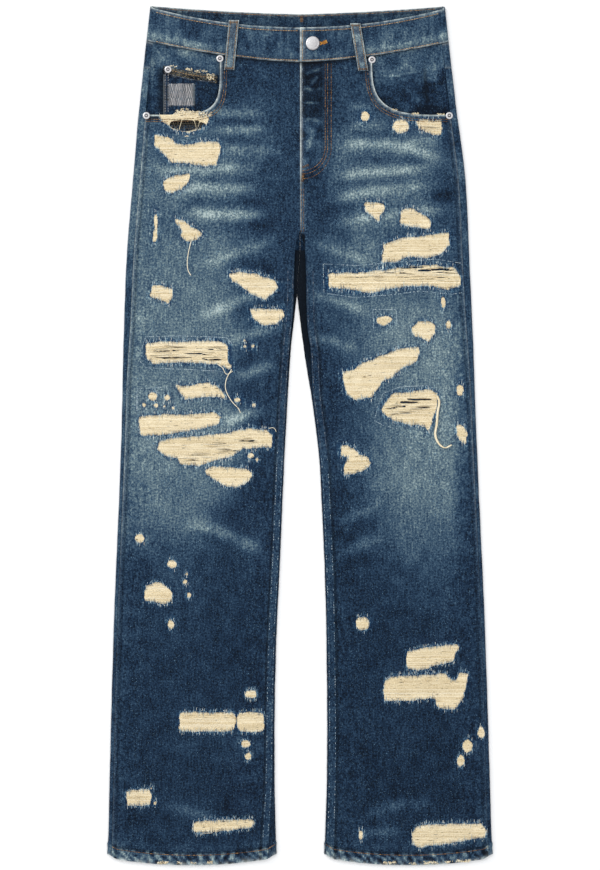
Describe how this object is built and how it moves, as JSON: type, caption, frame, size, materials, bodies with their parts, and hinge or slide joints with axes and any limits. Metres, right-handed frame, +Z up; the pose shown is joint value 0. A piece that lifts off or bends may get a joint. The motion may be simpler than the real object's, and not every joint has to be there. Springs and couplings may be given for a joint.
{
  "type": "ripped jeans",
  "caption": "Straight-leg five-pocket jeans laid flat, front up, in faded dark denim with ripped holes bridged by cream weft, steel button and rivets.",
  "frame": {"origin": "on the surface it lies on, under the middle of the garment's outline", "axes": "+X across the garment to the wearer's left, +Y up the garment from hem to waist, +Z up from the surface, front side upwards"},
  "size_m": [0.481, 1.0747, 0.0139],
  "materials": {
    "washed_denim": "matt, faded and whiskered",
    "dark_denim": "matt",
    "facing_denim": "matt",
    "zip_cloth": "matt",
    "brushed_steel": "satin"
  },
  "bodies": {
    "root": {"front_panel_right": "washed_denim", "back_panel_right": "dark_denim", "back_yoke_right": "dark_denim", "pocket_facing_right": "facing_denim", "back_pocket_right": "dark_denim", "belt_loop_front_right": "washed_denim", "belt_loop_back_right": "dark_denim", "rivet_right_inner": "brushed_steel", "rivet_right_outer": "brushed_steel", "front_panel_left": "washed_denim", "back_panel_left": "dark_denim", "back_yoke_left": "dark_denim", "pocket_facing_left": "facing_denim", "back_pocket_left": "dark_denim", "belt_loop_front_left": "washed_denim", "belt_loop_back_left": "dark_denim", "rivet_left_inner": "brushed_steel", "rivet_left_outer": "brushed_steel", "coin_pocket": "facing_denim", "rivet_coin_pocket": "brushed_steel", "belt_loop_back_centre": "dark_denim", "fly_shield": "dark_denim", "zip_tape": "zip_cloth", "waistband": "washed_denim", "waist_button": "brushed_steel"}
  },
  "joints": []
}
